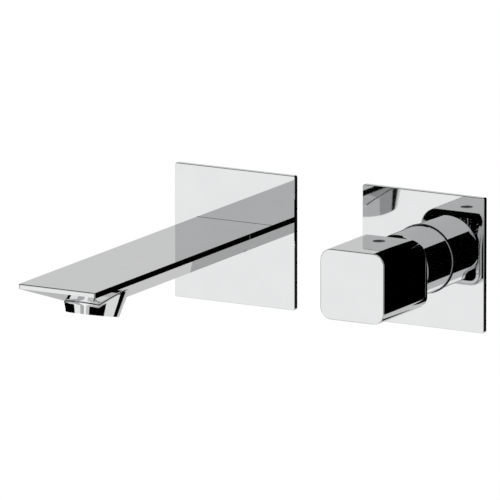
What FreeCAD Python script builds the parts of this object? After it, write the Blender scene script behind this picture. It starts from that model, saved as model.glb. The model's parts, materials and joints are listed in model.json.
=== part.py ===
"""Wall mounted bath faucet: two square cover plates, a flat blade spout and a square tilting knob on a
round sleeve, with the concealed brass valve, outlet pipe and bracket that stand behind the wall.

Millimetres, +Z up. The origin is on the finished wall plane (y = 0), midway between the two plates and
at their mid height. The front of the faucet points to -Y, and +Y goes into the wall.
"""
import FreeCAD
import Part
import math
import os

V = FreeCAD.Vector
os.makedirs("parts", exist_ok=True)

# ---- driving dimensions: trim ------------------------------------------------------------------
SPACING = 125.0                  # between the two plate centres
SPOUT_X = -SPACING / 2
VALVE_X = SPACING / 2
PLATE_SIZE = 80.0
PLATE_THICK = 3.3
PLATE_CORNER = 1.0
PLATE_EDGE = 0.25                # bevel round the front face
GASKET_OUT = 70.0                # foam gasket, let into the back of each plate
GASKET_IN = 60.0
GASKET_THICK = 1.6

SPOUT_WIDTH = 50.0
SPOUT_TOP = 9.3                  # top face above the plate centre
SPOUT_BAND = 3.4                 # height of the upright side band
SPOUT_THICK = 17.8
SPOUT_FLAT = 13.0                # width of the flat keel at the bottom
SPOUT_TIP_Y = -211.5
SPOUT_LIP = 2.8                  # height of the front lip
SPOUT_RAMP = 38.5                # length of the sloping underside behind the lip
SPOUT_ROOT_Y = 6.0               # the blade runs through its plate to here
SPOUT_WALL = 2.2
SPOUT_EDGE = 0.6                 # rounding round the front lip
PLATE_SLOT_GAP = 0.15            # plate to blade, all round

OUTLET_Y = -170.4                # centre of the outlet's lower rim
OUTLET_Z = -13.7
OUTLET_TILT = -12.0              # degrees: the rim faces down and a little away from the wall
OUTLET_R_LOW = 15.4
OUTLET_R_TOP = 17.9              # at OUTLET_RISE above the rim
OUTLET_RISE = 9.3
OUTLET_SEAM = 0.3                # seam between the collar and the blade
OUTLET_FLARE = 2.5               # radius in which the collar runs out into the blade's underside
OUTLET_NECK_R = 10.5
AERATOR_R = 12.0
OUTLET_CUP_R = 13.4              # the collar's inner cup, let into the blade
OUTLET_CUP_RISE = 7.6
AERATOR_SEAT = 6.3               # height of the insert's seat above the rim

SLEEVE_R = 20.0
SLEEVE_FRONT_Y = -34.1
SLEEVE_BACK_Y = 6.0
SLEEVE_LIP_R = 14.5
SLEEVE_LIP = 1.6
SLEEVE_PLATE_GAP = 0.5
BORE_EDGE = 0.35                 # bevel round the handle plate's bore

KNOB_SIZE = 41.6
KNOB_CORNER = 7.0
KNOB_FRONT_Y = -88.9
KNOB_BACK_Y = -35.2
KNOB_RELIEF_Y = -43.9            # back edge at the top, cut away so that the knob can tilt up
KNOB_WALL = 3.0
KNOB_FRONT_WALL = 4.0
KNOB_EDGE = 0.5                  # rounding round the front face
KNOB_BACK_EDGE = 1.4
KNOB_HOLE_Y = -56.6
KNOB_HOLE_R = 3.7
KNOB_BOSS_R = 9.5

# ---- driving dimensions: cartridge and handle mechanism -----------------------------------------
PIVOT_Y = -27.3                  # the lever's pin
TILT_MAX = 12.0                  # degrees, closed at 0
LEVER_ARM = 17.5                 # pin to the ball tip in the disc carrier
TRAVEL = LEVER_ARM * math.sin(math.radians(TILT_MAX))
RUN = 0.05                       # radial clearance of a running fit
HOUSING_R = 14.0
HOUSING_BORE_R = 12.5
NECK_R = 11.0
CARRIER_R = 9.0
NECK_FRONT_Y = -31.0
SHOULDER_Y = -24.0
CARRIER_FRONT_Y = -32.0
CARRIER_FLANGE_R = 12.0
CARRIER_FLANGE_Y = -16.0
CARRIER_BACK_Y = -12.0
SLOT_WIDTH = 6.2
SLOT_HEIGHT = 13.0
PIN_R = 1.5
DISC_CARRIER_Y = (-11.8, -5.8)
DISC_R = 8.4
MOVING_DISC_Y = (-5.8, -2.3)
FIXED_DISC_Y = (-2.28, 1.7)
FIXED_DISC_R = 12.4
HOUSING_BACK_Y = 8.0
FLOOR_Y = 10.0                   # floor of the cartridge chamber

# ---- driving dimensions: concealed valve, pipe and bracket ---------------------------------------
CHAMBER_FRONT_Y = -31.0
CHAMBER_OUT_R = 18.0
CHAMBER_BORE_R = 14.1
NUT_SEAT_R = 15.9
NUT_SEAT_Y = -23.5
SLEEVE_BORE_R = CHAMBER_OUT_R + 0.1
VALVE_BLOCK_R = 24.0
VALVE_BLOCK_Y = (10.0, 54.0)
BLOCK_EDGE = 2.0
INLET_OFFSET = 19.0              # hot and cold inlets, each side of the valve axis
INLET_Y = 26.0
INLET_R = 13.5
INLET_BOTTOM_Z = -52.0
INLET_TOP_Z = 6.0
G12_MINOR_R = 9.316              # G 1/2 internal thread, minor radius
G12_DEPTH = 15.0
WATERWAY_R = 4.5
PORT_R = 1.9
HOT_PORT = (-4.0, -4.0)           # from the valve axis, x and z
COLD_PORT = (4.0, -4.0)
MIX_PORT = (0.0, 1.6)
CROSS_R = 3.5                    # drillings from the inlets to their ports, at the ports' height
PLUG_LENGTH = 5.9
OUTLET_ARM_Y = 42.0
SPOUT_AXIS_Z = SPOUT_TOP - SPOUT_THICK / 2
ARM_R = 10.4
ARM_END_X = 14.0                 # free end of the valve's outlet arm
ELBOW_ARM_X = -34.0              # free end of the elbow's arm
PIPE_R = 7.5
PIPE_BORE_R = 6.5
NIPPLE_R = 9.0
ELBOW_R = 14.0
NIPPLE_FRONT_Y = 9.0
SOCKET_R = 15.0
SOCKET_BACK_Y = 24.0
BRACKET_Y = (58.0, 60.5)
BRACKET_HALF_X = 112.0
BRACKET_HALF_Z = 34.0
BRACKET_CORNER = 6.0
BRACKET_SLOT_DX = 200.0          # wall fixing slots, centre to centre
BRACKET_SLOT_DZ = 48.0
BRACKET_SLOT_R = 3.25
BRACKET_SLOT_LENGTH = 14.0
BRACKET_WINDOW_X = (-24.0, 16.0)
BRACKET_WINDOW_HALF_Z = 18.0
STRAP_HOLES = ((SPOUT_X, -22.0), (SPOUT_X, 22.0), (VALVE_X, -29.0), (VALVE_X, 29.0))
STRAP_HALF = 8.0
STRAP_HOLE_R = 2.75
STRAP_THICK = 4.0
SCREW_R = 2.45
SCREW_TAP_R = 2.5
SCREW_HEAD_R = 4.2
SCREW_HEAD = 3.0
SOCKET_KEY_R = 1.45              # hexagon sockets of the headless screws, to the corners
SOCKET_KEY_DEPTH = 3.0
NUT_CORNER_R = 14.0              # union nuts' hexagon, to the corners
NUT_LENGTH = 13.0
NUT_OVERLAP = 6.0                # how far a union nut reaches over its arm
PIPE_INSERT = 7.5                # how far the pipe's ends go into the arms
OLIVE_R = 9.4

# ---- driving dimensions: seals, discs and the handle's inner pieces ---------------------------------
SLEEVE_RING_Y = (-18.0, -6.0)
NIPPLE_RING_Y = (11.5, 15.0)
RING_CORD_R = 0.9
RING_GROOVE = 1.85               # depth of the grooves for these rings
CARRIER_RING_Y = -20.0
CARRIER_CORD_R = 0.65
PORT_SEAL_R = (2.9, 2.0)         # outer and inner radius of the port seals
SEAL_DEPTH = 1.2
PEG_X = 6.2                      # pegs between the disc carrier and the moving disc
PEG_R = 1.0
PEG_LENGTH = 1.4
POCKET_R = 2.7                   # pocket for the lever's ball
MIX_CAVITY_R = 3.25              # blind cavity in the moving disc
MIX_CAVITY_X = 2.25
MIX_CAVITY_Z = 1.75
MIX_CAVITY_DEPTH = 1.6
STEM_R = 4.0
STEM_FRONT_Y = -69.0
LEVER_FLAT = 6.0
LEVER_ARM_R = 1.8
TIP_R = 2.2
ADAPTOR_R = 6.5
ADAPTOR_Y = (-71.0, -45.0)
ADAPTOR_GROOVES = 12


# ---- helpers --------------------------------------------------------------------------------------
def cyl(axis, centre, r, low, high):
    """A cylinder along 'x', 'y' or 'z' from low to high; centre holds its other two coordinates."""
    a, b = centre
    if axis == "x":
        return Part.makeCylinder(r, high - low, V(low, a, b), V(1, 0, 0))
    if axis == "y":
        return Part.makeCylinder(r, high - low, V(a, low, b), V(0, 1, 0))
    return Part.makeCylinder(r, high - low, V(a, b, low), V(0, 0, 1))


def tube(axis, centre, r_out, r_in, low, high):
    """A plain ring or pipe."""
    return cyl(axis, centre, r_out, low, high).cut(cyl(axis, centre, r_in, low - 1, high + 1))


def box(x, y, z):
    """A box from three (low, high) pairs."""
    return Part.makeBox(x[1] - x[0], y[1] - y[0], z[1] - z[0], V(x[0], y[0], z[0]))


def ring(axis, centre, at, r_mid, r_cord):
    """An O-ring round an axis."""
    direction = {"x": V(1, 0, 0), "y": V(0, 1, 0)}[axis]
    place = V(at, *centre) if axis == "x" else V(centre[0], at, centre[1])
    return Part.makeTorus(r_mid, r_cord, place, direction)


def square_wire(cx, cz, size, corner, y):
    """A rounded square in a plane of constant y."""
    h = size / 2
    i = h - corner
    k = corner * math.sqrt(0.5)
    edges = []
    for sx, sz in ((1, 1), (-1, 1), (-1, -1), (1, -1)):
        # the arc at this corner, taken in the turning direction of the outline
        first = V(cx + sx * h, y, cz + sz * i)
        last = V(cx + sx * i, y, cz + sz * h)
        middle = V(cx + sx * (i + k), y, cz + sz * (i + k))
        if sx != sz:
            first, last = last, first
        edges.append(Part.Arc(first, middle, last).toShape())
    sides = []
    for n, arc in enumerate(edges):
        following = edges[(n + 1) % 4]
        sides += [arc, Part.makeLine(arc.Vertexes[-1].Point, following.Vertexes[0].Point)]
    return Part.Wire(sides)


def square_bar(cx, cz, size, corner, y0, y1):
    """A bar of rounded square section along y."""
    return Part.Face(square_wire(cx, cz, size, corner, y0)).extrude(V(0, y1 - y0, 0))


def prism_y(points, y0, y1):
    """A polygon of (x, z) points drawn at y0 and pulled to y1."""
    outline = Part.makePolygon([V(x, y0, z) for x, z in points + points[:1]])
    return Part.Face(outline).extrude(V(0, y1 - y0, 0))


def prism_x(points, x0, x1):
    """A polygon of (y, z) points drawn at x0 and pulled to x1."""
    outline = Part.makePolygon([V(x0, y, z) for y, z in points + points[:1]])
    return Part.Face(outline).extrude(V(x1 - x0, 0, 0))


def key_socket(x, y, z):
    """The hexagon recess of a headless screw, upright, from z upwards."""
    turns = [math.radians(a) for a in range(0, 361, 60)]
    corners = [V(x + SOCKET_KEY_R * math.cos(a), y + SOCKET_KEY_R * math.sin(a), z) for a in turns]
    return Part.Face(Part.makePolygon(corners)).extrude(V(0, 0, SOCKET_KEY_DEPTH + 1))


def edges_where(shape, test):
    """The edges whose every vertex passes the test."""
    return [e for e in shape.Edges if all(test(v.Point) for v in e.Vertexes)]


def save(name, shape):
    """Writes one node, once it is valid and closed."""
    shape = shape.removeSplitter() if len(shape.Solids) == 1 else shape
    if not shape.isValid() or not shape.Solids:
        raise ValueError(name + " is not a valid solid")
    shape.exportStep("parts/" + name + ".step")
    print(f"{name:24s} solids {len(shape.Solids)}  volume {shape.Volume / 1000:9.3f} cm3")


# ---- cover plates and gaskets -----------------------------------------------------------------------
def plate_blank(cx):
    blank = square_bar(cx, 0, PLATE_SIZE, PLATE_CORNER, -PLATE_THICK, 0)
    rim = edges_where(blank, lambda p: abs(p.y + PLATE_THICK) < 1e-6)
    blank = blank.makeChamfer(PLATE_EDGE, rim)
    recess = square_bar(cx, 0, GASKET_OUT, 4, -GASKET_THICK, 1)
    return blank.cut(recess.cut(square_bar(cx, 0, GASKET_IN, 4, -GASKET_THICK - 1, 2)))


def gasket(cx):
    outer = square_bar(cx, 0, GASKET_OUT - 0.2, 3.9, -GASKET_THICK, 0)
    return outer.cut(square_bar(cx, 0, GASKET_IN + 0.2, 4.1, -GASKET_THICK - 1, 1))


def blade_section(grow=0.0):
    """The spout's cross section; grow moves every side outwards."""
    half = SPOUT_WIDTH / 2
    top = SPOUT_TOP
    band = top - SPOUT_BAND
    bottom = top - SPOUT_THICK
    flat = SPOUT_FLAT / 2
    slope = math.atan2(band - bottom, half - flat)
    shift = grow * math.tan(slope / 2)
    side = half + grow
    # the sloping sides keep their direction, so their two corners slide along the offset lines
    knee = band - grow * math.tan((math.pi / 2 - slope) / 2)
    right = [(side, top + grow), (side, knee), (flat + shift, bottom - grow)]
    left = [(-x, z) for x, z in reversed(right)]
    return [(SPOUT_X + x, z) for x, z in right + left]


def spout_plate():
    slot = prism_y(blade_section(PLATE_SLOT_GAP), -PLATE_THICK - 1, 1)
    return plate_blank(SPOUT_X).cut(slot)


def handle_plate():
    bore = cyl("y", (VALVE_X, 0), SLEEVE_R + SLEEVE_PLATE_GAP, -PLATE_THICK - 1, 1)
    groove = cyl("y", (VALVE_X, 0), SLEEVE_R + 1.5, -2.6, -0.8)
    plate = plate_blank(VALVE_X).cut(bore)
    rim = [e for e in plate.Edges if abs(e.BoundBox.YMax + PLATE_THICK) < 1e-3
           and abs(e.BoundBox.XLength - 2 * (SLEEVE_R + SLEEVE_PLATE_GAP)) < 0.1]
    return plate.makeChamfer(BORE_EDGE, rim).cut(groove)


# ---- spout --------------------------------------------------------------------------------------------
def blade_solid(grow=0.0):
    """The blade's outer form, with the sloping underside behind its front lip."""
    body = prism_y(blade_section(grow), SPOUT_TIP_Y - grow, SPOUT_ROOT_Y)
    lip_z = SPOUT_TOP - SPOUT_LIP - grow
    low_z = SPOUT_TOP - SPOUT_THICK - grow
    run = SPOUT_RAMP
    slope = (lip_z - low_z) / run
    reach = 30.0
    wedge = [(SPOUT_TIP_Y - grow - 1, lip_z + slope), (SPOUT_TIP_Y - grow + run, low_z),
             (SPOUT_TIP_Y - grow + run, low_z - reach), (SPOUT_TIP_Y - grow - 1, low_z - reach)]
    return body.cut(prism_x(wedge, SPOUT_X - 40, SPOUT_X + 40))


def outlet_frame(shape):
    """Moves a shape drawn upright about the origin to the outlet's rim, and tilts it."""
    shape.rotate(V(0, 0, 0), V(1, 0, 0), OUTLET_TILT)
    shape.translate(V(SPOUT_X, OUTLET_Y, OUTLET_Z))
    return shape


def spout_body():
    blade = blade_solid()
    lip_z = SPOUT_TOP - SPOUT_LIP
    front = edges_where(blade, lambda p: abs(p.y - SPOUT_TIP_Y) < 1e-6 and p.z > lip_z - 1e-6)
    blade = blade.makeFillet(SPOUT_EDGE, [e for e in front if e.BoundBox.ZMax > SPOUT_TOP - 1e-3])
    channel_front = SPOUT_TIP_Y + SPOUT_RAMP - 3
    channel = prism_y(blade_section(-SPOUT_WALL), channel_front, SPOUT_ROOT_Y - 4)
    inlet = cyl("y", (SPOUT_X, SPOUT_AXIS_Z), WATERWAY_R, SPOUT_ROOT_Y - 6, SPOUT_ROOT_Y + 1)
    mouth = outlet_frame(cyl("z", (0, 0), OUTLET_NECK_R + RUN, 0, OUTLET_RISE + 4))
    cup = outlet_frame(cyl("z", (0, 0), OUTLET_CUP_R + RUN, -1, OUTLET_CUP_RISE + RUN))
    return blade.cut(channel).cut(inlet).cut(mouth).cut(cup)


def spout_socket():
    """Brazed to the blade's root; it slides over the elbow's nipple."""
    body = cyl("y", (SPOUT_X, SPOUT_AXIS_Z), SOCKET_R, SPOUT_ROOT_Y, SOCKET_BACK_Y)
    bore = cyl("y", (SPOUT_X, SPOUT_AXIS_Z), NIPPLE_R + RUN, NIPPLE_FRONT_Y - 0.5, SOCKET_BACK_Y + 1)
    way = cyl("y", (SPOUT_X, SPOUT_AXIS_Z), WATERWAY_R, SPOUT_ROOT_Y - 1, NIPPLE_FRONT_Y)
    body = body.cut(bore).cut(way)
    for side in (-1, 1):
        body = body.cut(set_screw_blank(side, SCREW_TAP_R, 2))
    return body


def set_screw_blank(side, radius, extra):
    """One of the two radial screws that lock the socket on the nipple, from below left and right."""
    inner = NIPPLE_R + 0.2
    screw = Part.makeCylinder(radius, SOCKET_R - inner + extra, V(0, 0, -inner), V(0, 0, -1))
    screw.rotate(V(0, 0, 0), V(0, 1, 0), 40 * side)
    screw.translate(V(SPOUT_X, SOCKET_BACK_Y - 4, SPOUT_AXIS_Z))
    return screw


def spout_set_screws():
    screws = []
    for side in (-1, 1):
        screw = set_screw_blank(side, SCREW_R, 0)
        hexagon = key_socket(0, 0, -SOCKET_R - 1)
        hexagon.rotate(V(0, 0, 0), V(0, 1, 0), 40 * side)
        hexagon.translate(V(SPOUT_X, SOCKET_BACK_Y - 4, SPOUT_AXIS_Z))
        screws.append(screw.cut(hexagon))
    return Part.makeCompound(screws)


def outlet_collar():
    """A tapered collar under the tip, flared where it meets the blade, into which it is screwed."""
    rise = OUTLET_RISE + 8
    top_r = OUTLET_R_LOW + (OUTLET_R_TOP - OUTLET_R_LOW) * rise / OUTLET_RISE
    cone = outlet_frame(Part.makeCone(OUTLET_R_LOW, top_r, rise))
    # the flare is rounded against a blade a little nearer, so that its edge keeps some thickness
    whole = blade_solid(OUTLET_SEAM / 3).fuse(cone).removeSplitter()
    joint = []
    for e in whole.Edges:
        kinds = sorted(type(f.Surface).__name__ for f in whole.ancestorsOfType(e, Part.Face))
        if kinds == ["Cone", "Plane"] and e.BoundBox.ZMin > OUTLET_Z + 2:
            joint.append(e)
    whole = whole.makeFillet(OUTLET_FLARE, joint).cut(blade_solid(OUTLET_SEAM))
    above = box((SPOUT_X - 40, SPOUT_X + 40), (-260, 20), (SPOUT_TOP - SPOUT_BAND - 0.1, 60))
    skirt = max(whole.cut(above).Solids, key=lambda s: s.Volume)
    cup = outlet_frame(cyl("z", (0, 0), OUTLET_CUP_R, 0, OUTLET_CUP_RISE))
    neck = outlet_frame(cyl("z", (0, 0), OUTLET_NECK_R, 4, OUTLET_RISE + 2.0))
    seat = outlet_frame(cyl("z", (0, 0), AERATOR_R + 0.1, -1, AERATOR_SEAT))
    bore = outlet_frame(cyl("z", (0, 0), OUTLET_NECK_R - 2.0, -1, OUTLET_RISE + 6))
    rim = outlet_frame(Part.makeCone(AERATOR_R + 1.3, AERATOR_R + 0.1, 1.2))
    return skirt.fuse(cup).fuse(neck).cut(seat).cut(bore).cut(rim)


def aerator_cage():
    """The insert's cup: a ring, a floor grid and a centre post."""
    body = tube("z", (0, 0), AERATOR_R, AERATOR_R - 1.4, 0.6, 5.6)
    grid = []
    pitch = 3.2
    for n in range(-3, 4):
        grid.append(box((n * pitch - 0.4, n * pitch + 0.4), (-AERATOR_R, AERATOR_R), (0.6, 2.2)))
        grid.append(box((-AERATOR_R, AERATOR_R), (n * pitch - 0.4, n * pitch + 0.4), (0.6, 2.2)))
    lattice = grid[0].multiFuse(grid[1:]).common(cyl("z", (0, 0), AERATOR_R - 0.7, 0.6, 2.2))
    return outlet_frame(body.fuse(lattice))


def aerator_screen():
    """Perforated disc that breaks up the jet."""
    disc = cyl("z", (0, 0), AERATOR_R - 1.5, 3.6, 4.4)
    holes = []
    for count, radius in ((6, 3.6), (12, 7.4)):
        for n in range(count):
            a = 2 * math.pi * n / count
            holes.append(cyl("z", (radius * math.cos(a), radius * math.sin(a)), 0.9, 3, 5))
    return outlet_frame(disc.cut(Part.makeCompound(holes)))


def aerator_seal():
    return outlet_frame(tube("z", (0, 0), AERATOR_R - 0.1, AERATOR_R - 2.6, 5.6, AERATOR_SEAT))


# ---- sleeve and its rings -----------------------------------------------------------------------------
def sleeve():
    axis = (VALVE_X, 0)
    body = tube("y", axis, SLEEVE_R, SLEEVE_BORE_R, SLEEVE_FRONT_Y, SLEEVE_BACK_Y)
    lip = tube("y", axis, SLEEVE_R - 0.5, SLEEVE_LIP_R, SLEEVE_FRONT_Y, SLEEVE_FRONT_Y + SLEEVE_LIP)
    whole = body.fuse(lip).removeSplitter()
    front = [e for e in whole.Edges if abs(e.BoundBox.YMax - SLEEVE_FRONT_Y) < 1e-6
             and e.BoundBox.XLength > 2 * SLEEVE_R - 0.1]
    return whole.makeChamfer(0.5, front)


def sleeve_o_rings():
    return Part.makeCompound([ring("y", (VALVE_X, 0), y, CHAMBER_OUT_R - RING_CORD_R + 0.05, RING_CORD_R)
                              for y in SLEEVE_RING_Y])


def plate_o_ring():
    return ring("y", (VALVE_X, 0), -1.7, SLEEVE_R + 0.03 + 0.7, 0.7)


# ---- concealed valve body -----------------------------------------------------------------------------
def valve_block():
    return cyl("y", (VALVE_X, 0), VALVE_BLOCK_R, *VALVE_BLOCK_Y)


def inlet_blank(side):
    return cyl("z", (VALVE_X + side * INLET_OFFSET, INLET_Y), INLET_R, INLET_BOTTOM_Z, INLET_TOP_Z)


def waterways():
    """Every bore that carries water: an inlet each side, drilled across to its port, and the mixed way."""
    ways = []
    for (px, pz), side in ((HOT_PORT, -1), (COLD_PORT, 1)):
        x = VALVE_X + side * INLET_OFFSET
        ways.append(cyl("z", (x, INLET_Y), G12_MINOR_R, INLET_BOTTOM_Z - 1, INLET_BOTTOM_Z + G12_DEPTH))
        ways.append(cyl("z", (x, INLET_Y), WATERWAY_R, INLET_BOTTOM_Z, pz + CROSS_R + 2))
        ways.append(cyl("y", (VALVE_X + px, pz), PORT_R, FLOOR_Y - 1, INLET_Y + 2))
        ends = sorted((VALVE_X + px, x + side * (INLET_R + 3)))
        ways.append(cyl("x", (INLET_Y, pz), CROSS_R, *ends))
    px, pz = MIX_PORT
    ways.append(cyl("y", (VALVE_X + px, pz), PORT_R, FLOOR_Y - 1, OUTLET_ARM_Y))
    ways.append(cyl("x", (OUTLET_ARM_Y, SPOUT_AXIS_Z), WATERWAY_R, ARM_END_X - 1, VALVE_X + WATERWAY_R))
    ways.append(cyl("x", (OUTLET_ARM_Y, SPOUT_AXIS_Z), PIPE_R + RUN, ARM_END_X - 1, ARM_END_X + 8))
    return ways


def drilled(shape):
    for way in waterways():
        shape = shape.cut(way)
    return shape


def valve_body():
    """The block behind the cartridge, drilled for the three ways."""
    block = valve_block()
    rim = [e for e in block.Edges if e.BoundBox.YMin > VALVE_BLOCK_Y[1] - 1e-3]
    return drilled(block.makeFillet(BLOCK_EDGE, rim))


def valve_barrel():
    """The cartridge chamber in front of the block, with the seat of its nut and the sleeve's two grooves."""
    axis = (VALVE_X, 0)
    body = tube("y", axis, CHAMBER_OUT_R, CHAMBER_BORE_R, CHAMBER_FRONT_Y, FLOOR_Y)
    body = body.cut(cyl("y", axis, NUT_SEAT_R, CHAMBER_FRONT_Y - 1, NUT_SEAT_Y))
    for y in SLEEVE_RING_Y:
        groove = tube("y", axis, CHAMBER_OUT_R + 1, CHAMBER_OUT_R - RING_GROOVE, y - 1.1, y + 1.1)
        body = body.cut(groove)
    return body


def inlet_unions():
    """Hot and cold inlet sockets, brazed to the block."""
    return Part.makeCompound([drilled(inlet_blank(side).cut(valve_block())) for side in (-1, 1)])


def outlet_arm():
    """Brazed to the block's left side; the outlet pipe goes into its end."""
    arm = cyl("x", (OUTLET_ARM_Y, SPOUT_AXIS_Z), ARM_R, ARM_END_X, VALVE_X)
    return drilled(arm.cut(valve_block()).cut(inlet_blank(-1)))


def cross_bore_plugs():
    """Screwed plugs that close the two drillings from the sides."""
    plugs = []
    for side, port in ((-1, HOT_PORT), (1, COLD_PORT)):
        outer = VALVE_X + side * (INLET_OFFSET + INLET_R - 0.6)
        plug = cyl("x", (INLET_Y, port[1]), CROSS_R - 0.03, *sorted((outer - side * PLUG_LENGTH, outer)))
        slit = box(sorted((outer - side * 1.0, outer + side * 1.0)), (INLET_Y - 0.5, INLET_Y + 0.5),
                   (port[1] - CROSS_R, port[1] + CROSS_R))
        plugs.append(plug.cut(slit))
    return Part.makeCompound(plugs)


def strap(cx, reach):
    """A flat bar with a screw hole at each end, brazed across a casting's back."""
    depth = (BRACKET_Y[0] - STRAP_THICK, BRACKET_Y[0])
    bar = box((cx - STRAP_HALF, cx + STRAP_HALF), depth, (-reach, reach))
    for side in (-1, 1):
        bar = bar.fuse(cyl("y", (cx, side * reach), STRAP_HALF, *depth))
    for side in (-1, 1):
        bar = bar.cut(cyl("y", (cx, side * reach), STRAP_HOLE_R, depth[0] - 1, depth[1] + 1))
    return bar


def valve_strap():
    return strap(VALVE_X, STRAP_HOLES[-1][1])


def elbow_strap():
    return strap(SPOUT_X, STRAP_HOLES[1][1])


# ---- pipe to the spout ------------------------------------------------------------------------
def spout_elbow():
    body = cyl("y", (SPOUT_X, SPOUT_AXIS_Z), NIPPLE_R, NIPPLE_FRONT_Y, 30)
    span = (SOCKET_BACK_Y + 1, BRACKET_Y[0] - STRAP_THICK)
    body = body.fuse(cyl("y", (SPOUT_X, SPOUT_AXIS_Z), ELBOW_R, *span))
    body = body.fuse(cyl("x", (OUTLET_ARM_Y, SPOUT_AXIS_Z), ARM_R, SPOUT_X, ELBOW_ARM_X))
    body = body.cut(cyl("y", (SPOUT_X, SPOUT_AXIS_Z), WATERWAY_R, NIPPLE_FRONT_Y - 1, OUTLET_ARM_Y))
    body = body.cut(cyl("x", (OUTLET_ARM_Y, SPOUT_AXIS_Z), WATERWAY_R, SPOUT_X, ELBOW_ARM_X + 1))
    body = body.cut(cyl("x", (OUTLET_ARM_Y, SPOUT_AXIS_Z), PIPE_R + RUN, ELBOW_ARM_X - 8, ELBOW_ARM_X + 1))
    for y in NIPPLE_RING_Y:
        groove = tube("y", (SPOUT_X, SPOUT_AXIS_Z), NIPPLE_R + 1, NIPPLE_R - RING_GROOVE, y - 1.1, y + 1.1)
        body = body.cut(groove)
    return body


def nipple_o_rings():
    return Part.makeCompound([
        ring("y", (SPOUT_X, SPOUT_AXIS_Z), y, NIPPLE_R - RING_CORD_R, RING_CORD_R) for y in NIPPLE_RING_Y])


def outlet_pipe():
    return tube("x", (OUTLET_ARM_Y, SPOUT_AXIS_Z), PIPE_R, PIPE_BORE_R,
                ELBOW_ARM_X - PIPE_INSERT, ARM_END_X + PIPE_INSERT)


def union_nut(open_x, side):
    """A hexagon nut that covers one joint; open_x is the arm's end and side points away from the arm."""
    corners = [(OUTLET_ARM_Y + NUT_CORNER_R * math.cos(math.radians(a)),
                SPOUT_AXIS_Z + NUT_CORNER_R * math.sin(math.radians(a))) for a in range(0, 360, 60)]
    low, high = sorted((open_x - side * NUT_OVERLAP, open_x + side * (NUT_LENGTH - NUT_OVERLAP)))
    nut = prism_x(corners, low, high)
    chamfer = cyl("x", (OUTLET_ARM_Y, SPOUT_AXIS_Z), NUT_CORNER_R - 0.6, low, high)
    nut = nut.common(chamfer)
    nut = nut.cut(cyl("x", (OUTLET_ARM_Y, SPOUT_AXIS_Z), ARM_R + 0.05,
                      *sorted((open_x - side * (NUT_OVERLAP + 1), open_x + side * 3.2))))
    return nut.cut(cyl("x", (OUTLET_ARM_Y, SPOUT_AXIS_Z), PIPE_R + 0.1, low - 1, high + 1))


def pipe_nuts():
    return Part.makeCompound([union_nut(ARM_END_X, -1), union_nut(ELBOW_ARM_X, 1)])


def pipe_olives():
    """Soft brass rings squeezed between each arm and its nut."""
    rings = []
    for open_x, side in ((ARM_END_X, -1), (ELBOW_ARM_X, 1)):
        rings.append(tube("x", (OUTLET_ARM_Y, SPOUT_AXIS_Z), OLIVE_R, PIPE_R + 0.02,
                          *sorted((open_x + side * 0.05, open_x + side * 3.15))))
    return Part.makeCompound(rings)


# ---- bracket ----------------------------------------------------------------------------------
def mounting_bracket():
    plate = box((-BRACKET_HALF_X, BRACKET_HALF_X), BRACKET_Y, (-BRACKET_HALF_Z, BRACKET_HALF_Z))
    upright = [e for e in plate.Edges if e.BoundBox.YLength > 1]
    plate = plate.makeFillet(BRACKET_CORNER, upright)
    span = (BRACKET_Y[0] - 1, BRACKET_Y[1] + 1)
    half = BRACKET_SLOT_LENGTH / 2 - BRACKET_SLOT_R
    for sx in (-1, 1):
        for sz in (-1, 1):
            x = sx * BRACKET_SLOT_DX / 2
            z = sz * BRACKET_SLOT_DZ / 2
            slot = box((x - half, x + half), span, (z - BRACKET_SLOT_R, z + BRACKET_SLOT_R))
            for end in (-half, half):
                slot = slot.fuse(cyl("y", (x + end, z), BRACKET_SLOT_R, *span))
            plate = plate.cut(slot)
    for place in STRAP_HOLES:
        plate = plate.cut(cyl("y", place, SCREW_TAP_R, *span))
    window = box(BRACKET_WINDOW_X, span, (-BRACKET_WINDOW_HALF_Z, BRACKET_WINDOW_HALF_Z))
    window = window.makeFillet(BRACKET_CORNER / 2, [e for e in window.Edges if e.BoundBox.YLength > 1])
    return plate.cut(window)


def bracket_screws():
    """Pan-head screws with a cross recess, one through each strap hole into the bracket."""
    screws = []
    seat = BRACKET_Y[0] - STRAP_THICK
    for x, z in STRAP_HOLES:
        head = cyl("y", (x, z), SCREW_HEAD_R, seat - SCREW_HEAD, seat)
        crown = edges_where(head, lambda p: abs(p.y - seat + SCREW_HEAD) < 1e-6)
        head = head.makeFillet(1.4, crown)
        shank = cyl("y", (x, z), SCREW_R, seat - 1, BRACKET_Y[1])
        deep = (seat - SCREW_HEAD - 1, seat - 1.2)
        cross = box((x - 2.2, x + 2.2), deep, (z - 0.5, z + 0.5))
        cross = cross.fuse(box((x - 0.5, x + 0.5), deep, (z - 2.2, z + 2.2)))
        screws.append(head.fuse(shank).cut(cross))
    return Part.makeCompound(screws)


# ---- cartridge --------------------------------------------------------------------------------
AXIS = (VALVE_X, 0)
PORT_PLACES = [(VALVE_X + x, z) for x, z in (HOT_PORT, COLD_PORT, MIX_PORT)]


def cartridge_housing():
    """Shell with a long neck in which the swivel carrier turns."""
    shell = cyl("y", AXIS, HOUSING_R, SHOULDER_Y, HOUSING_BACK_Y)
    shell = shell.fuse(cyl("y", AXIS, NECK_R, NECK_FRONT_Y, SHOULDER_Y + 1))
    shell = shell.cut(cyl("y", AXIS, HOUSING_BORE_R, CARRIER_FLANGE_Y - 0.1, HOUSING_BACK_Y + 1))
    return shell.cut(cyl("y", AXIS, CARRIER_R + RUN, NECK_FRONT_Y - 1, CARRIER_FLANGE_Y))


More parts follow.
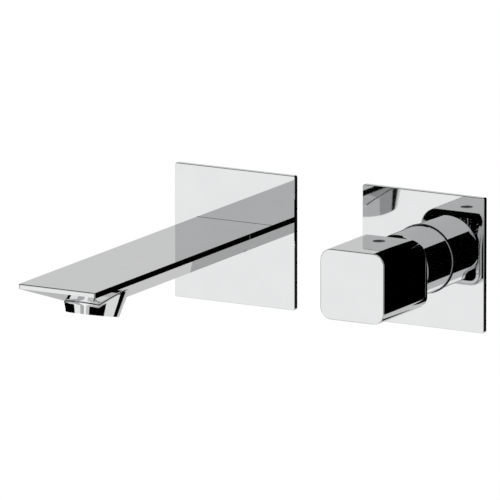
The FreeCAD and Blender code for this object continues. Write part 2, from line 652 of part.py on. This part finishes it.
def swivel_carrier():
    """Turns in the neck and holds the lever's pin; a slot along its axis lets the lever tilt."""
    body = cyl("y", AXIS, CARRIER_R, CARRIER_FRONT_Y, CARRIER_FLANGE_Y + 1)
    body = body.fuse(cyl("y", AXIS, CARRIER_FLANGE_R, CARRIER_FLANGE_Y, CARRIER_BACK_Y))
    slot = box((VALVE_X - SLOT_WIDTH / 2, VALVE_X + SLOT_WIDTH / 2),
               (CARRIER_FRONT_Y - 1, CARRIER_BACK_Y + 1), (-SLOT_HEIGHT / 2, SLOT_HEIGHT / 2))
    groove = tube("y", AXIS, CARRIER_R + 1, CARRIER_R - 2 * CARRIER_CORD_R - 0.1,
                  CARRIER_RING_Y - 0.8, CARRIER_RING_Y + 0.8)
    pin = cyl("x", (PIVOT_Y, 0), PIN_R + 0.02, VALVE_X - CARRIER_R - 1, VALVE_X + CARRIER_R + 1)
    return body.cut(slot).cut(groove).cut(pin)


def carrier_o_ring():
    return ring("y", AXIS, CARRIER_RING_Y, CARRIER_R - CARRIER_CORD_R, CARRIER_CORD_R)


def pivot_pin():
    return cyl("x", (PIVOT_Y, 0), PIN_R, VALVE_X - CARRIER_R + 0.6, VALVE_X + CARRIER_R - 0.6)


def disc_carrier():
    """Plastic slider that the lever's ball moves, with the moving disc behind it."""
    front, back = DISC_CARRIER_Y
    body = cyl("y", AXIS, DISC_R, front, back)
    body = body.cut(cyl("y", AXIS, POCKET_R, front - 1, back - 1))
    for side in (-1, 1):
        place = (VALVE_X + side * PEG_X, 0)
        body = body.cut(cyl("y", place, PEG_R + RUN, back - PEG_LENGTH - 0.1, back + 1))
    return body


def moving_disc():
    """Ceramic disc with two locating pegs in front and a blind mixing cavity behind."""
    front, back = MOVING_DISC_Y
    body = cyl("y", AXIS, DISC_R, front, back)
    for side in (-1, 1):
        body = body.fuse(cyl("y", (VALVE_X + side * PEG_X, 0), PEG_R, front - PEG_LENGTH, front + 0.5))
    deep = (back - MIX_CAVITY_DEPTH, back + 1)
    cavity = box((VALVE_X - MIX_CAVITY_X, VALVE_X + MIX_CAVITY_X), deep,
                 (MIX_CAVITY_Z - MIX_CAVITY_R, MIX_CAVITY_Z + MIX_CAVITY_R))
    for side in (-1, 1):
        cavity = cavity.fuse(cyl("y", (VALVE_X + side * MIX_CAVITY_X, MIX_CAVITY_Z), MIX_CAVITY_R, *deep))
    return body.cut(cavity)


def fixed_disc():
    front, back = FIXED_DISC_Y
    body = cyl("y", AXIS, FIXED_DISC_R, front, back)
    for place in PORT_PLACES:
        body = body.cut(cyl("y", place, PORT_R, front - 1, back + 1))
    return body


def cartridge_base():
    """Closes the housing and leads each port from the fixed disc to the chamber's floor."""
    start = FIXED_DISC_Y[1]
    body = cyl("y", AXIS, FIXED_DISC_R, start, HOUSING_BACK_Y)
    body = body.fuse(cyl("y", AXIS, HOUSING_R, HOUSING_BACK_Y, FLOOR_Y))
    for place in PORT_PLACES:
        body = body.cut(cyl("y", place, PORT_R, start - 1, FLOOR_Y + 1))
        body = body.cut(cyl("y", place, PORT_SEAL_R[0] + 0.03, start - 1, start + SEAL_DEPTH))
        body = body.cut(cyl("y", place, PORT_SEAL_R[0] + 0.03, FLOOR_Y - SEAL_DEPTH, FLOOR_Y + 1))
    return body


def seal_set(low):
    """A flat seal round each of the three ports."""
    return Part.makeCompound([tube("y", place, *PORT_SEAL_R, low, low + SEAL_DEPTH)
                              for place in PORT_PLACES])


def port_seals():
    return seal_set(FLOOR_Y - SEAL_DEPTH)


def disc_seals():
    return seal_set(FIXED_DISC_Y[1])


def retaining_nut():
    """Holds the cartridge down on its shoulder; its front edge is notched for a pin spanner."""
    body = tube("y", AXIS, NUT_SEAT_R - 0.05, NECK_R + 0.1, NECK_FRONT_Y - 0.5, SHOULDER_Y)
    for n in range(6):
        a = math.radians(60 * n)
        x = VALVE_X + NUT_SEAT_R * math.cos(a)
        z = NUT_SEAT_R * math.sin(a)
        body = body.cut(cyl("y", (x, z), 1.6, NECK_FRONT_Y - 1, NECK_FRONT_Y + 2))
    return body


# ---- handle -----------------------------------------------------------------------------------
def lever_stem():
    """Round stem, a flat eye on the pin and a rear arm that ends in a ball."""
    stem = cyl("y", AXIS, STEM_R, STEM_FRONT_Y, PIVOT_Y - 3)
    eye = cyl("x", (PIVOT_Y, 0), STEM_R, VALVE_X - LEVER_FLAT / 2, VALVE_X + LEVER_FLAT / 2)
    flat = box((VALVE_X - LEVER_FLAT / 2, VALVE_X + LEVER_FLAT / 2), (CARRIER_FRONT_Y - 1, PIVOT_Y + 1),
               (-STEM_R, STEM_R))
    cheeks = [box(sorted((VALVE_X + side * LEVER_FLAT / 2, VALVE_X + side * (STEM_R + 1))),
                  (CARRIER_FRONT_Y - 1.2, PIVOT_Y), (-STEM_R - 1, STEM_R + 1)) for side in (-1, 1)]
    arm = cyl("y", AXIS, LEVER_ARM_R, PIVOT_Y + 2, PIVOT_Y + LEVER_ARM)
    tip = Part.makeSphere(TIP_R, V(VALVE_X, PIVOT_Y + LEVER_ARM, 0))
    body = stem.fuse(eye).fuse(flat).cut(Part.makeCompound(cheeks)).fuse(arm).fuse(tip)
    return body.cut(cyl("x", (PIVOT_Y, 0), PIN_R + RUN, VALVE_X - 9, VALVE_X + 9))


def stem_adaptor():
    """Splined bush between the stem and the knob."""
    body = tube("y", AXIS, ADAPTOR_R, STEM_R + 0.03, *ADAPTOR_Y)
    for n in range(ADAPTOR_GROOVES):
        a = 2 * math.pi * (n + 0.5) / ADAPTOR_GROOVES
        place = (VALVE_X + (ADAPTOR_R + 0.25) * math.cos(a), (ADAPTOR_R + 0.25) * math.sin(a))
        body = body.cut(cyl("y", place, 0.7, ADAPTOR_Y[0] - 1, ADAPTOR_Y[1] + 1))
    return body


def knob_relief():
    """Everything behind the knob's back face: upright below mid height, a large arc above it."""
    rise = KNOB_SIZE / 2
    run = KNOB_BACK_Y - KNOB_RELIEF_Y
    radius = (rise * rise + run * run) / (2 * run)
    centre_y = KNOB_BACK_Y - radius
    half = math.atan2(rise, radius - run) / 2
    start = V(0, KNOB_BACK_Y, 0)
    middle = V(0, centre_y + radius * math.cos(half), radius * math.sin(half))
    end = V(0, KNOB_RELIEF_Y, rise)
    reach = KNOB_BACK_Y + 30
    corners = [end, V(0, KNOB_RELIEF_Y, rise + 5), V(0, reach, rise + 5), V(0, reach, -rise - 5),
               V(0, KNOB_BACK_Y, -rise - 5), start]
    edges = [Part.Arc(start, middle, end).toShape()]
    edges += [Part.makeLine(a, b) for a, b in zip(corners, corners[1:])]
    outline = Part.Wire(edges)
    tool = Part.Face(outline).extrude(V(100, 0, 0))
    tool.translate(V(VALVE_X - 50, 0, 0))
    return tool


def knob():
    """Hollow rounded square with a central boss for the adaptor and a set screw from the top."""
    outer = square_bar(VALVE_X, 0, KNOB_SIZE, KNOB_CORNER, KNOB_FRONT_Y, KNOB_BACK_Y + 5)
    face = edges_where(outer, lambda p: abs(p.y - KNOB_FRONT_Y) < 1e-6)
    outer = outer.makeFillet(KNOB_EDGE, face).cut(knob_relief())
    back = [e for e in outer.Edges if e.BoundBox.YMin > KNOB_RELIEF_Y - 1e-3]
    outer = outer.makeFillet(KNOB_BACK_EDGE, back)
    hollow = square_bar(VALVE_X, 0, KNOB_SIZE - 2 * KNOB_WALL, KNOB_CORNER - KNOB_WALL,
                        KNOB_FRONT_Y + KNOB_FRONT_WALL, KNOB_BACK_Y + 6)
    shell = outer.cut(hollow)
    boss = cyl("y", AXIS, KNOB_BOSS_R, KNOB_FRONT_Y + 1, ADAPTOR_Y[1] - 1)
    post = cyl("z", (VALVE_X, KNOB_HOLE_Y), KNOB_HOLE_R + 2, 0, KNOB_SIZE / 2 - 1)
    whole = shell.fuse(boss).fuse(post)
    whole = whole.cut(cyl("y", AXIS, ADAPTOR_R + 0.03, ADAPTOR_Y[0] - 0.5, ADAPTOR_Y[1] + 1))
    whole = whole.cut(cyl("z", (VALVE_X, KNOB_HOLE_Y), SCREW_TAP_R, ADAPTOR_R - 1, KNOB_SIZE / 2 + 1))
    return whole.cut(cyl("z", (VALVE_X, KNOB_HOLE_Y), KNOB_HOLE_R, KNOB_SIZE / 2 - 4, KNOB_SIZE / 2 + 1))


def knob_set_screw():
    """Headless screw with a hexagon socket; its tip presses on the adaptor."""
    screw = cyl("z", (VALVE_X, KNOB_HOLE_Y), SCREW_R, ADAPTOR_R + 0.05, ADAPTOR_R + 8)
    return screw.cut(key_socket(VALVE_X, KNOB_HOLE_Y, ADAPTOR_R + 5))


def knob_screw_cap():
    """Dark push-in cap that closes the set screw's hole, a little below the surface."""
    top = KNOB_SIZE / 2 - 0.5
    cap = cyl("z", (VALVE_X, KNOB_HOLE_Y), KNOB_HOLE_R - 0.04, top - 1.8, top)
    rim = edges_where(cap, lambda p: abs(p.z - top) < 1e-6)
    return cap.makeChamfer(0.3, rim)


PIECES = [spout_plate, handle_plate, spout_body, spout_socket, spout_set_screws, outlet_collar,
          aerator_cage, aerator_screen, aerator_seal, sleeve, sleeve_o_rings, plate_o_ring,
          valve_body, valve_barrel, valve_strap, elbow_strap, inlet_unions, outlet_arm,
          cross_bore_plugs, outlet_pipe, pipe_nuts, pipe_olives, spout_elbow, nipple_o_rings,
          mounting_bracket, bracket_screws, cartridge_housing, cartridge_base, fixed_disc, port_seals,
          disc_seals, retaining_nut, swivel_carrier, carrier_o_ring, pivot_pin, disc_carrier,
          moving_disc, lever_stem, stem_adaptor, knob, knob_set_screw, knob_screw_cap]

for piece in PIECES:
    save(piece.__name__, piece())
save("spout_plate_gasket", gasket(SPOUT_X))
save("handle_plate_gasket", gasket(VALVE_X))
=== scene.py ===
import bpy
import json
import math
from mathutils import Matrix, Vector


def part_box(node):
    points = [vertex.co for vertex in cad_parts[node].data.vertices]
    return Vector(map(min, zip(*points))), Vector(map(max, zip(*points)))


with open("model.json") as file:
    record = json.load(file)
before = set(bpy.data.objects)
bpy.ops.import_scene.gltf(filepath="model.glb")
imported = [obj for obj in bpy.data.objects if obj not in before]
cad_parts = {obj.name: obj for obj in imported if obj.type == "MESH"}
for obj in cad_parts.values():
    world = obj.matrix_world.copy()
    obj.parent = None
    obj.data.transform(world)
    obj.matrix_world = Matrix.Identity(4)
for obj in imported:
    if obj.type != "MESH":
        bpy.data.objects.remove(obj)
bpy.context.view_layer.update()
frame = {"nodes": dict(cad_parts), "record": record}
nodes = frame["nodes"]
scene = bpy.context.scene
scene.view_settings.view_transform = "Standard"


# ---------------------------------------------------------------- materials
def tree(name, shader="ShaderNodeBsdfPrincipled"):
    """A new material with one shader node, wired to its output."""
    m = bpy.data.materials.new(name)
    m.use_nodes = True
    nt = m.node_tree
    for n in list(nt.nodes):
        nt.nodes.remove(n)
    out = nt.nodes.new("ShaderNodeOutputMaterial")
    surface = nt.nodes.new(shader)
    nt.links.new(surface.outputs[0], out.inputs[0])
    return m, nt, surface


def noise(nt, scale, detail=3.0, rough=0.55, stretch=None):
    """Object-space noise; stretch scales the three axes apart."""
    coord = nt.nodes.new("ShaderNodeTexCoord")
    tex = nt.nodes.new("ShaderNodeTexNoise")
    tex.inputs["Scale"].default_value = scale
    tex.inputs["Detail"].default_value = detail
    tex.inputs["Roughness"].default_value = rough
    vec = coord.outputs["Object"]
    if stretch:
        m = nt.nodes.new("ShaderNodeMapping")
        m.inputs["Scale"].default_value = stretch
        nt.links.new(vec, m.inputs["Vector"])
        vec = m.outputs["Vector"]
    nt.links.new(vec, tex.inputs["Vector"])
    return tex.outputs["Fac"]


def ramp(nt, fac, stops):
    """Colour from fac, through (position, colour) stops."""
    r = nt.nodes.new("ShaderNodeValToRGB")
    e = r.color_ramp.elements
    while len(e) < len(stops):
        e.new(0.5)
    for k, (pos, col) in zip(e, stops):
        k.position = pos
        k.color = (*col, 1)
    nt.links.new(fac, r.inputs["Fac"])
    return r.outputs["Color"]


def span(nt, fac, low, high):
    """fac, which runs from 0 to 1, spread from low to high."""
    m = nt.nodes.new("ShaderNodeMapRange")
    m.inputs["To Min"].default_value = low
    m.inputs["To Max"].default_value = high
    nt.links.new(fac, m.inputs["Value"])
    return m.outputs["Result"]


def bump(nt, height, strength, distance):
    """A surface normal from a height; distance is in metres."""
    b = nt.nodes.new("ShaderNodeBump")
    b.inputs["Strength"].default_value = strength
    b.inputs["Distance"].default_value = distance
    nt.links.new(height, b.inputs["Height"])
    return b.outputs["Normal"]


# sockets of the Mix node when it mixes colours
MIX_A = 6
MIX_B = 7
MIX_RESULT = 2


def chrome(name, dull_back=False):
    """Polished plating; a pressed plate keeps a dull back, which the polishing wheel does not reach."""
    m, nt, b = tree(name)
    haze = noise(nt, 60.0, 4.0)
    tone = ramp(nt, haze, [(0.3, (0.775, 0.78, 0.785)), (0.7, (0.795, 0.80, 0.805))])
    rough = span(nt, noise(nt, 220.0, 5.0), 0.015, 0.035)
    if dull_back:
        facing = nt.nodes.new("ShaderNodeSeparateXYZ")
        coord = nt.nodes.new("ShaderNodeTexCoord")
        nt.links.new(coord.outputs["Normal"], facing.inputs[0])
        back = nt.nodes.new("ShaderNodeMapRange")
        back.inputs["From Min"].default_value = 0.8
        back.inputs["From Max"].default_value = 0.95
        nt.links.new(facing.outputs["Y"], back.inputs["Value"])
        brushed = noise(nt, 180.0, 5.0, 0.6, (1, 1, 0.15))
        dull = ramp(nt, brushed, [(0.3, (0.42, 0.42, 0.42)), (0.7, (0.55, 0.55, 0.54))])
        mix = nt.nodes.new("ShaderNodeMix")
        mix.data_type = "RGBA"
        nt.links.new(back.outputs["Result"], mix.inputs["Factor"])
        nt.links.new(tone, mix.inputs[MIX_A])
        nt.links.new(dull, mix.inputs[MIX_B])
        tone = mix.outputs[MIX_RESULT]
        more = nt.nodes.new("ShaderNodeMath")
        more.operation = "MULTIPLY_ADD"
        nt.links.new(back.outputs["Result"], more.inputs[0])
        more.inputs[1].default_value = 0.4
        nt.links.new(rough, more.inputs[2])
        rough = more.outputs[0]
    nt.links.new(tone, b.inputs["Base Color"])
    b.inputs["Metallic"].default_value = 1.0
    nt.links.new(rough, b.inputs["Roughness"])
    nt.links.new(bump(nt, noise(nt, 45.0, 2.0), 0.04, 0.00002), b.inputs["Normal"])
    return m


def metal(name, dark, light, rough, scale, grain=None):
    """Bare metal; grain stretches its pattern along the way it was drawn or rolled."""
    m, nt, b = tree(name)
    tone = noise(nt, scale, 5.0, 0.6, grain)
    nt.links.new(ramp(nt, tone, [(0.25, dark), (0.75, light)]), b.inputs["Base Color"])
    b.inputs["Metallic"].default_value = 1.0
    nt.links.new(span(nt, noise(nt, scale * 3, 4.0, 0.6, grain), rough[0], rough[1]), b.inputs["Roughness"])
    nt.links.new(bump(nt, noise(nt, scale * 6, 3.0, 0.5, grain), 0.25, 0.0001), b.inputs["Normal"])
    return m


def moulded(name, dark, light, rough, scale=700.0, strength=0.15, ior=1.46):
    """Plastic, rubber, foam or ceramic, with a fine moulded texture of the given scale."""
    m, nt, b = tree(name)
    tone = noise(nt, 90.0, 4.0)
    nt.links.new(ramp(nt, tone, [(0.3, dark), (0.7, light)]), b.inputs["Base Color"])
    nt.links.new(span(nt, noise(nt, 160.0, 3.0), rough[0], rough[1]), b.inputs["Roughness"])
    nt.links.new(bump(nt, noise(nt, scale, 3.0), strength, 0.00006), b.inputs["Normal"])
    b.inputs["IOR"].default_value = ior
    return m


look = {
    "chrome": chrome("chrome"),
    "plate_chrome": chrome("plate_chrome", True),
    "brass": metal("brass", (0.46, 0.31, 0.11), (0.66, 0.48, 0.20), (0.28, 0.48), 120.0),
    "copper": metal("copper", (0.48, 0.22, 0.11), (0.72, 0.38, 0.22), (0.22, 0.42), 90.0, (0.3, 1, 1)),
    "steel": metal("steel", (0.38, 0.38, 0.39), (0.56, 0.56, 0.57), (0.25, 0.40), 160.0, (0.08, 1, 1)),
    "housing_plastic": moulded("housing_plastic", (0.60, 0.60, 0.55), (0.70, 0.70, 0.66), (0.38, 0.5)),
    "moving_plastic": moulded("moving_plastic", (0.05, 0.08, 0.13), (0.08, 0.12, 0.18), (0.35, 0.5)),
    "aerator_plastic": moulded("aerator_plastic", (0.24, 0.25, 0.26), (0.32, 0.33, 0.34), (0.35, 0.5)),
    "ceramic": moulded("ceramic", (0.72, 0.70, 0.64), (0.80, 0.78, 0.73), (0.12, 0.22), 900.0, 0.05, 1.6),
    "rubber": moulded("rubber", (0.010, 0.010, 0.010), (0.020, 0.020, 0.020), (0.5, 0.7), 500.0, 0.2),
    "foam": moulded("foam", (0.015, 0.015, 0.016), (0.030, 0.030, 0.032), (0.85, 0.95), 1400.0, 0.7),
    "cap_plastic": moulded("cap_plastic", (0.016, 0.016, 0.018), (0.028, 0.028, 0.030), (0.3, 0.45)),
}
slot_of = {}
for row in frame["record"]["subparts"]:
    slot_of[row["node"]] = row["material_slot"]
behind_wall = ("valve_body", "valve_barrel", "valve_strap", "elbow_strap", "inlet_unions", "outlet_arm",
               "spout_elbow", "spout_socket", "spout_set_screws", "outlet_pipe", "pipe_nuts", "pipe_olives",
               "cross_bore_plugs", "mounting_bracket", "bracket_screws", "nipple_o_rings")
plates = ("spout_plate", "handle_plate")
for name, obj in nodes.items():
    obj.data.materials.clear()
    obj.data.materials.append(look["plate_chrome" if name in plates else slot_of[name]])
    if name in behind_wall:
        # the wall keeps these out of the trim's reflections
        obj.visible_glossy = False

# ---------------------------------------------------------------- camera
AZIMUTH = math.radians(29.147)
ELEVATION = math.radians(12.378)
DISTANCE = 8.18
LENS_MM = 1009.0
SENSOR_MM = 36.0
# from the spout plate's centre on the wall to the middle of the picture, in metres
AIM_RIGHT = 0.00737
AIM_UP = -0.00849


def middle(node):
    """The centre of a node's box at rest."""
    low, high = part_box(node)
    return (Vector(low) + Vector(high)) / 2


level_out = Vector((math.sin(AZIMUTH), -math.cos(AZIMUTH), 0))
out = level_out * math.cos(ELEVATION) + Vector((0, 0, math.sin(ELEVATION)))
right = Vector((math.cos(AZIMUTH), math.sin(AZIMUTH), 0))
up = out.cross(right)
aim = Vector((middle("spout_plate").x, 0, 0)) + AIM_RIGHT * right + AIM_UP * up
cam_data = bpy.data.cameras.new("camera")
cam_data.sensor_width = SENSOR_MM
cam_data.lens = LENS_MM
cam_data.clip_end = 100.0
camera = bpy.data.objects.new("camera", cam_data)
scene.collection.objects.link(camera)
turn = Matrix((right, up, out)).transposed().to_4x4()
camera.matrix_world = Matrix.Translation(aim + DISTANCE * out) @ turn
scene.camera = camera


# ---------------------------------------------------------------- surroundings
def glow(name, level):
    """A plain emitting material."""
    m, nt, e = tree(name, "ShaderNodeEmission")
    e.inputs["Color"].default_value = (level, level, level, 1)
    return m


def stage_mesh(name, points, faces, material, seen=False):
    """A mesh of the stage; seen says whether the camera sees it."""
    mesh = bpy.data.meshes.new(name)
    mesh.from_pydata(points, [], faces)
    mesh.materials.append(material)
    o = bpy.data.objects.new(name, mesh)
    scene.collection.objects.link(o)
    o.visible_camera = seen
    return o


def sheet(name, centre, normal, width, height, material):
    """A flat rectangle that faces along normal and that the camera sees."""
    n = Vector(normal).normalized()
    side = Vector((0, 0, 1)).cross(n)
    side = side.normalized() if side.length > 1e-3 else Vector((1, 0, 0))
    top = n.cross(side)
    c = Vector(centre)
    signs = ((-1, -1), (1, -1), (1, 1), (-1, 1))
    corners = [c + sx * side * width / 2 + sy * top * height / 2 for sx, sy in signs]
    return stage_mesh(name, corners, [(0, 1, 2, 3)], material, True)


world = bpy.data.worlds.new("world")
world.use_nodes = True
world.node_tree.nodes["Background"].inputs["Color"].default_value = (1, 1, 1, 1)
world.node_tree.nodes["Background"].inputs["Strength"].default_value = 1.0
scene.world = world

# the light tent's radii and the ends of its drum, in metres, and the width of one facet, in degrees
DRUM_RADIUS = 3.0
CARD_RADIUS = 2.9
DISC_RADIUS = 2.3
FRONT = -3.0
BACK = 3.0
SECTOR_STEP = 6


def tent(name, y0, y1, first, last, level, radius=DRUM_RADIUS, closed=True):
    """One panel of the light tent: a sector of a drum about the Y axis, from y0 to y1.

    Its angles are in degrees, from +X over +Z, and closed adds the drum's end at y1.
    """
    steps = max(2, int(abs(last - first) / SECTOR_STEP))
    angles = [math.radians(first + (last - first) * k / steps) for k in range(steps + 1)]
    near = [Vector((radius * math.cos(a), y0, radius * math.sin(a))) for a in angles]
    far = [p + Vector((0, y1 - y0, 0)) for p in near]
    n = len(angles)
    points = near + far
    faces = [(k, k + 1, n + k + 1, n + k) for k in range(n - 1)]
    if closed:
        points.append(Vector((0, y1, 0)))
        faces += [(n + k, n + k + 1, 2 * n) for k in range(n - 1)]
    stage_mesh(name, points, faces, glow(name, level))


# The drum's panels, with the level of each. Chrome shows little else than what stands around it, so these
# were set by grey value until the reflections in the camera's view came near the photograph's.
FRONT_PANELS = (
    ("front_grey", -64, 54, 0.40),
    ("front_top", 54, 180, 0.60),
    ("front_gap", 180, 198, 0.05),
    ("front_left", 198, 216, 1.0),
    ("front_left_low", 216, 240, 0.50),
    ("front_low", 240, 262, 1.1),
    ("front_low_right", 262, 296, 0.65),
)
BACK_PANELS = (
    ("back_grey", -34, 150, 0.45),
    ("back_left", 150, 196, 0.66),
    ("back_gap", 196, 215, 0.0),
    ("back_left_low", 215, 224, 0.52),
    ("back_low", 224, 326, 0.62),
)
for end, panels in ((FRONT, FRONT_PANELS), (BACK, BACK_PANELS)):
    for name, first, last, level in panels:
        tent(name, 0, end, first, last, level)
# black sectors just inside the two ends
tent("front_black", FRONT + 0.03, FRONT + 0.02, -64, 54, 0.0, DISC_RADIUS)
tent("back_black", BACK - 0.03, BACK - 0.02, -34, 150, 0.0, DISC_RADIUS)
# smaller cards, which the tapered outlet picks up
tent("left_card", 1.12, -2.08, 184, 207, 0.0, CARD_RADIUS, False)
tent("right_card", 2.0, -0.74, 320, 341, 0.85, CARD_RADIUS, False)
# the dark line along every rounded top edge comes from this one
tent("top_strip", -2.3, 2.3, 105, 140, 0.0, CARD_RADIUS, False)

# two black cards stand where the outlet's collar mirrors them in the camera's view, as its dark patches
OUTLET_CARD_DISTANCE = 0.35


def outlet_card(name, bearings, drops):
    """A black card near the outlet, between two bearings and between two angles below level.

    A bearing of 0 looks along +X and one of 90 looks at the wall; all are in degrees.
    """
    first, last = bearings
    high, low = drops
    corners = []
    for bearing, drop in ((first, high), (last, high), (last, low), (first, low)):
        turn = math.radians(bearing)
        fall = math.radians(drop)
        level_way = Vector((math.cos(turn), math.sin(turn), 0))
        direction = level_way * math.cos(fall) - Vector((0, 0, math.sin(fall)))
        corners.append(middle("outlet_collar") + OUTLET_CARD_DISTANCE * direction)
    stage_mesh(name, corners, [(0, 1, 2, 3)], glow(name, 0.0))


outlet_card("card_behind", (40, 70), (20, 35))
outlet_card("card_right", (-60, -15), (20, 30))


def one_sided(name, level):
    """A plain glow from the front, clear from behind."""
    m, nt, e = tree(name, "ShaderNodeEmission")
    e.inputs["Color"].default_value = (level, level, level, 1)
    clear = nt.nodes.new("ShaderNodeBsdfTransparent")
    which = nt.nodes.new("ShaderNodeNewGeometry")
    mix = nt.nodes.new("ShaderNodeMixShader")
    nt.links.new(which.outputs["Backfacing"], mix.inputs[0])
    nt.links.new(e.outputs[0], mix.inputs[1])
    nt.links.new(clear.outputs[0], mix.inputs[2])
    nt.links.new(mix.outputs[0], nt.nodes["Material Output"].inputs[0])
    return m


# wall and floor are open from behind and from below, so that the concealed pieces show there
WALL_Y = 0.0002
FLOOR_Z = -0.9
wall = sheet("wall", (0, WALL_Y, 0), (0, -1, 0), 3.0, 2.4, one_sided("wall_white", 1.0))
floor = sheet("floor", (0, 0, FLOOR_Z), (0, 0, 1), 40.0, 40.0, one_sided("floor_pale", 0.90))
for o in (wall, floor):
    o.visible_glossy = False
    o.visible_diffuse = False
    o.visible_shadow = False
